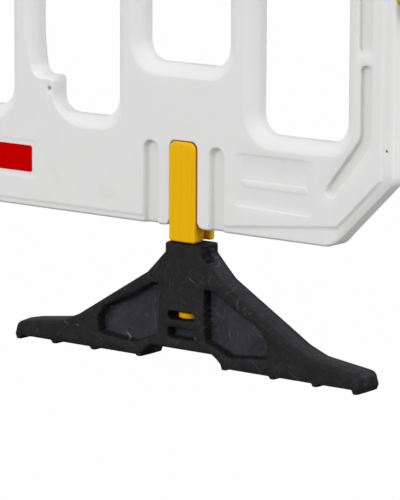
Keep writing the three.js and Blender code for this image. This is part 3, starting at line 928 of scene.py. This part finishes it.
# ---- materials ----
class Nodes:
    """A small helper that builds a procedural material in object space, in metres."""

    def __init__(self, name):
        self.material = bpy.data.materials.new(name)
        self.material.use_nodes = True
        self.tree = self.material.node_tree
        self.tree.nodes.clear()
        self.shader = self.add("BsdfPrincipled")
        self.output = self.add("OutputMaterial", {"Surface": self.shader.outputs["BSDF"]})
        self.place = self.add("TexCoord").outputs["Object"]

    def add(self, kind, inputs=None, **settings):
        """Adds a node; an input is given as a number, a colour or the socket to link."""
        node = self.tree.nodes.new("ShaderNode" + kind)
        for key, value in settings.items():
            setattr(node, key, value)
        for key, value in (inputs or {}).items():
            self.put(node.inputs[key], value)
        return node

    def put(self, socket, value):
        if isinstance(value, bpy.types.NodeSocket):
            self.tree.links.new(value, socket)
        else:
            socket.default_value = value

    def surface(self, colour, roughness, specular):
        inputs = self.shader.inputs
        self.put(inputs["Base Color"], colour)
        self.put(inputs["Roughness"], roughness)
        self.put(inputs["Specular IOR Level"], specular)

    def stretched(self, scale, turn=(0, 0, 0)):
        """Object coordinates for a pattern with its own frequency along each axis, then turned."""
        inputs = {"Vector": self.place, "Scale": [1 / s for s in scale], "Rotation": turn}
        return self.add("Mapping", inputs, vector_type="TEXTURE").outputs["Vector"]

    def noise(self, scale, detail=4, rough=0.55, distortion=0.0, vector=None):
        return self.add("TexNoise", {
            "Vector": vector or self.place, "Scale": scale, "Detail": detail, "Roughness": rough,
            "Distortion": distortion,
        }).outputs["Fac"]

    def cells(self, scale, feature="F1"):
        inputs = {"Vector": self.place, "Scale": scale}
        return self.add("TexVoronoi", inputs, feature=feature).outputs["Distance"]

    def ramp(self, value, low, high, out_low=0.0, out_high=1.0):
        return self.add("MapRange", {
            "Value": value, "From Min": low, "From Max": high, "To Min": out_low, "To Max": out_high,
        }).outputs["Result"]

    def math(self, operation, a, b=0.0):
        return self.add("Math", {0: a, 1: b}, operation=operation).outputs[0]

    def times(self, a, b):
        return self.math("MULTIPLY", a, b)

    def mix(self, factor, a, b):
        """Colour a where the factor is 0 and b where it is 1."""
        a, b = ((*c, 1) if isinstance(c, tuple) else c for c in (a, b))
        return self.add("Mix", {0: factor, 6: a, 7: b}, data_type="RGBA").outputs[2]

    def bumps(self, layers):
        """layers: (height socket, distance in mm, strength), applied one on the other."""
        inputs = {}
        for height, distance, strength in layers:
            inputs |= {"Strength": strength, "Distance": distance * MM, "Height": height}
            inputs["Normal"] = self.add("Bump", inputs).outputs["Normal"]
        self.put(self.shader.inputs["Normal"], inputs["Normal"])

    def edges(self, radius, low, high):
        """Close to 1 along edges that stand out, from a bevelled normal."""
        bevel = self.add("Bevel", {"Radius": radius * MM}, samples=8)
        normal = self.add("NewGeometry").outputs["Normal"]
        dot = self.add("VectorMath", {0: bevel.outputs["Normal"], 1: normal}, operation="DOT_PRODUCT")
        return self.ramp(dot.outputs["Value"], high, low)

    def size_along(self, name, vector):
        """The absolute value of one component of a vector."""
        return self.math("ABSOLUTE", self.add("SeparateXYZ", {0: vector}).outputs[name])

    def facing(self, name, low, high):
        """1 where the surface faces along an axis, either way."""
        return self.ramp(self.size_along(name, self.add("NewGeometry").outputs["Normal"]), low, high)

    def hollow_shade(self, distance, low, high):
        """0 in the open and 1 in hollows, from how much of the sky a point sees: a mask for painting shade
        into hollows.
        """
        node = self.add("AmbientOcclusion", {"Distance": distance * MM}, samples=12)
        return self.ramp(node.outputs["AO"], high, low)


def panel_material():
    n = Nodes("moulded_polyethylene")
    cloud = n.noise(9, 3)
    grime = n.ramp(n.noise(38, 6, 0.65), 0.52, 0.78)
    specks = n.times(n.ramp(n.cells(420), 0.11, 0.05), n.ramp(n.noise(60, 2), 0.62, 0.72))
    low = n.ramp(n.add("SeparateXYZ", {0: n.place}).outputs["Z"], 0.42, 0.19)
    dirt = n.times(grime, n.times(low, 0.22))
    base = n.mix(cloud, (0.80, 0.80, 0.80), (0.835, 0.835, 0.83))
    base = n.mix(dirt, base, (0.62, 0.60, 0.56))
    # Painted shade: ambient occlusion darkens hollows, grooves and window sides to a warm grey.
    base = n.mix(n.hollow_shade(14, 0.25, 0.85), base, (0.62, 0.61, 0.575))
    # Painted shade: recess floors that face front or back and sit more than about 2 mm below the face are
    # darkened.
    sunk_floor_shade = n.ramp(n.size_along("Y", n.place), 0.0175, 0.0150)
    sunk_floor_shade = n.times(n.facing("Y", 0.90, 0.99), sunk_floor_shade)
    base = n.mix(n.times(sunk_floor_shade, 0.32), base, (0.62, 0.61, 0.565))
    base = n.mix(n.times(specks, 0.35), base, (0.42, 0.40, 0.38))
    n.surface(base, n.ramp(n.noise(55, 4), 0.3, 0.7, 0.42, 0.55), 0.35)
    scratch = n.ramp(n.noise(1, 3, 0.5, 0.2, n.stretched((14, 160, 420), (0.2, 0, 0.3))), 0.69, 0.74)
    n.bumps([(n.noise(14, 2), 2.0, 0.10), (n.noise(1400, 3), 0.03, 0.35), (scratch, -0.05, 0.25)])
    return n.material


def film_material():
    n = Nodes("reflective_film")
    base = n.mix(n.noise(120, 3), (0.56, 0.0, 0.0002), (0.60, 0.0001, 0.0004))
    n.put(n.shader.inputs["IOR"], 1.12)
    n.surface(base, n.ramp(n.noise(70, 4), 0.3, 0.7, 0.30, 0.42), 0.05)
    n.bumps([(n.cells(330, "DISTANCE_TO_EDGE"), 0.05, 0.12), (n.noise(30, 2), 0.6, 0.08)])
    return n.material


def clamp_material():
    n = Nodes("clamp_plastic")
    base = n.mix(n.noise(40, 4), (0.86, 0.485, 0.001), (0.90, 0.505, 0.002))
    rub = n.times(n.edges(0.9, 0.80, 0.97), n.ramp(n.noise(150, 3), 0.4, 0.65, 0.0, 0.35))
    base = n.mix(rub, base, (0.92, 0.60, 0.05))
    streak = n.noise(1, 2, 0.5, 0.0, n.stretched((260, 260, 7)))
    base = n.mix(n.ramp(streak, 0.5, 0.68, 0.0, 0.5), base, (0.80, 0.40, 0.001))
    # Painted shade: ambient occlusion turns hollows and the gaps between the cheeks a deep orange.
    base = n.mix(n.hollow_shade(12, 0.3, 0.75), base, (0.60, 0.15, 0.0))
    n.surface(base, n.ramp(n.noise(90, 4), 0.3, 0.7, 0.36, 0.5), 0.09)
    n.bumps([(n.noise(1300, 3), 0.03, 0.35), (n.noise(35, 2), 0.5, 0.10)])
    return n.material


def rubber_material():
    n = Nodes("recycled_rubber")
    cloud = n.noise(22, 5, 0.6, 0.6)
    face = n.mix(n.ramp(cloud, 0.3, 0.7), (0.0075, 0.0077, 0.0080), (0.0135, 0.0135, 0.014))
    floor = n.mix(n.ramp(cloud, 0.35, 0.65), (0.020, 0.020, 0.025), (0.037, 0.037, 0.045))
    deep = n.ramp(n.size_along("Y", n.place), 0.0165, 0.010)
    base = n.mix(deep, face, floor)
    # Painted shade: faces turned towards either end of the foot are darkened.
    base = n.mix(n.facing("X", 0.75, 0.95), base, (0.004, 0.004, 0.0042))
    # Painted shade: faces that point upwards are darkened.
    top_shade = n.times(n.facing("Z", 0.55, 0.95), 0.55)
    base = n.mix(top_shade, base, (0.003, 0.003, 0.0032))
    dust = n.ramp(n.noise(70, 6, 0.7), 0.48, 0.85, 0.0, 0.14)
    base = n.mix(dust, base, (0.10, 0.10, 0.102))
    for lean, grain, strength in ((0.5, 26, 0.30), (-0.9, 34, 0.22), (1.45, 30, 0.18)):
        fibre = n.noise(1, 3, 0.6, 1.1, n.stretched((grain, 40, grain * 16), (0, lean, 0)))
        patch = n.ramp(n.noise(grain * 0.9, 3), 0.47, 0.66)
        patch = n.times(patch, n.ramp(deep, 0.0, 1.0, strength * 0.7, strength * 1.4))
        base = n.mix(n.times(n.ramp(fibre, 0.60, 0.70), patch), base, (0.34, 0.34, 0.35))
    scuff = n.noise(1, 2, 0.5, 0.4, n.stretched((22, 90, 460), (0, 0.35, 0)))
    marks = n.times(n.ramp(scuff, 0.71, 0.75), n.ramp(n.noise(26, 2), 0.60, 0.66, 0.0, 0.6))
    patches = n.ramp(n.noise(45, 2), 0.55, 0.66, 0.0, 0.4)
    specks = n.times(n.ramp(n.cells(560), 0.15, 0.07), patches)
    worn = n.times(n.edges(1.0, 0.78, 0.97), n.ramp(n.noise(60, 4), 0.40, 0.66, 0.0, 0.22))
    for mask, tint in ((marks, (0.55, 0.55, 0.56)), (specks, (0.5, 0.5, 0.5)), (worn, (0.25, 0.25, 0.25))):
        base = n.mix(mask, base, tint)
    n.surface(base, n.ramp(cloud, 0.3, 0.7, 0.62, 0.8), 0.2)
    n.bumps([(n.noise(900, 4, 0.6), 0.12, 0.4), (n.noise(60, 4), 0.8, 0.15)])
    return n.material


def steel_material():
    n = Nodes("zinc_plate")
    base = n.mix(n.cells(900), (0.50, 0.51, 0.52), (0.66, 0.66, 0.66))
    n.put(n.shader.inputs["Metallic"], 1.0)
    n.surface(base, n.ramp(n.noise(300, 3), 0.3, 0.7, 0.25, 0.4), 0.5)
    n.bumps([(n.noise(2500, 2), 0.01, 0.3)])
    return n.material


# ---- assembly ----
MATERIALS = {
    "panel_white": panel_material(),
    "film_red": film_material(),
    "clamp_yellow": clamp_material(),
    "foot_rubber": rubber_material(),
    "screw_steel": steel_material(),
}


def install(piece, node, body, slot):
    """Puts a finished piece on its body, in place of its CAD node."""
    piece.data.materials.clear()
    piece.data.materials.append(MATERIALS[slot])
    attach(piece, body)
    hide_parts(node)


install(make_panel(), "barrier_panel", "barrier", "panel_white")
for film_node in FILM_NODES:
    install(make_film(film_node), film_node, "barrier", "film_red")
for hand, sign in (("left", -1), ("right", 1)):
    install(make_clamp(f"clamp_{hand}", sign * AXIS), f"foot_clamp_{hand}", "barrier", "clamp_yellow")
    install(make_foot(f"rubber_foot_{hand}", sign * AXIS), f"foot_{hand}", f"{hand}_foot", "foot_rubber")
for coupling in [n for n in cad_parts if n.startswith(("coupling_peg", "coupling_eye"))]:
    install(make_coupling(coupling), coupling, "barrier", "clamp_yellow")
for screw_node in [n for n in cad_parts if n.startswith("coupling_screw")]:
    install(make_screw(screw_node), screw_node, "barrier", "screw_steel")


# ---- floor, light and camera ----
FLOOR_HALF = 30.0
SEEN_GLOW = 0.985
CAMERA_PLACE = (3504.6, -3714.5, 1019.5)
CAMERA_AZIMUTH = math.radians(37.3)
CAMERA_ELEVATION = math.radians(10.44)
CAMERA_ROLL = math.radians(0.28)
SENSOR_WIDTH = 36
LENS = 251.64


def make_floor():
    """A pale floor that looks evenly lit to the camera and reflects little light upwards."""
    half = FLOOR_HALF
    corners = [(-half, -half, 0), (half, -half, 0), (half, half, 0), (-half, half, 0)]
    mesh = bpy.data.meshes.new("floor")
    mesh.from_pydata(corners, [], [(0, 1, 2, 3)])
    floor = show("floor", mesh)
    n = Nodes("studio_floor")
    n.surface((0.2, 0.2, 0.2, 1), 1.0, 0.0)
    glow = n.add("Emission", {"Strength": 1.0})
    share = n.times(n.add("LightPath").outputs["Is Camera Ray"], SEEN_GLOW)
    blend = n.add("MixShader", {0: share, 1: n.shader.outputs["BSDF"], 2: glow.outputs[0]})
    n.put(n.output.inputs["Surface"], blend.outputs[0])
    floor.data.materials.append(n.material)


def make_sun(name, towards, strength, spread):
    """A soft light that shines along a direction."""
    lamp = bpy.data.lights.new(name, "SUN")
    lamp.energy = strength
    lamp.angle = math.radians(spread)
    show(name, lamp).rotation_euler = Vector(towards).to_track_quat("-Z", "Y").to_euler()


def make_world(top, side, low):
    """An even studio dome: brightness overhead, at the sides and below."""
    world = bpy.data.worlds.new("studio")
    bpy.context.scene.world = world
    world.use_nodes = True
    tree = world.node_tree
    tree.nodes.clear()
    place, split, shift, ramp, back, output = (tree.nodes.new("ShaderNode" + kind) for kind in (
        "TexCoord", "SeparateXYZ", "MapRange", "ValToRGB", "Background", "OutputWorld"))
    shift.inputs["From Min"].default_value = -1
    stops = ramp.color_ramp.elements
    stops[0].position, stops[1].position = 0.45, 1.0
    stops[0].color, stops[1].color = (low, low, low, 1), (top, top, top, 1)
    stops.new(0.55).color = (side, side, side, 1)
    for source, target in (
        (place.outputs["Generated"], split.inputs[0]), (split.outputs["Z"], shift.inputs["Value"]),
        (shift.outputs["Result"], ramp.inputs["Fac"]), (ramp.outputs["Color"], back.inputs["Color"]),
        (back.outputs[0], output.inputs["Surface"]),
    ):
        tree.links.new(source, target)


def make_camera():
    level = math.cos(CAMERA_ELEVATION)
    back = Vector((math.sin(CAMERA_AZIMUTH) * level, -math.cos(CAMERA_AZIMUTH) * level,
                   math.sin(CAMERA_ELEVATION)))
    flat_right = Vector((math.cos(CAMERA_AZIMUTH), math.sin(CAMERA_AZIMUTH), 0))
    flat_up = back.cross(flat_right)
    right = math.cos(CAMERA_ROLL) * flat_right + math.sin(CAMERA_ROLL) * flat_up
    up = math.cos(CAMERA_ROLL) * flat_up - math.sin(CAMERA_ROLL) * flat_right
    data = bpy.data.cameras.new("camera")
    data.sensor_width = SENSOR_WIDTH
    data.lens = LENS
    camera = show("camera", data)
    turn = Matrix((right, up, back)).transposed().to_4x4()
    camera.matrix_world = Matrix.Translation(Vector(CAMERA_PLACE) * MM) @ turn
    bpy.context.scene.camera = camera


make_floor()
make_world(0.66, 0.65, 0.26)
make_sun("key", (0.25, 0.95, -0.22), 1.84, 60)
make_sun("side", (-1.0, -0.1, -0.35), 1.75, 45)
make_camera()
bpy.context.scene.view_settings.view_transform = "Standard"
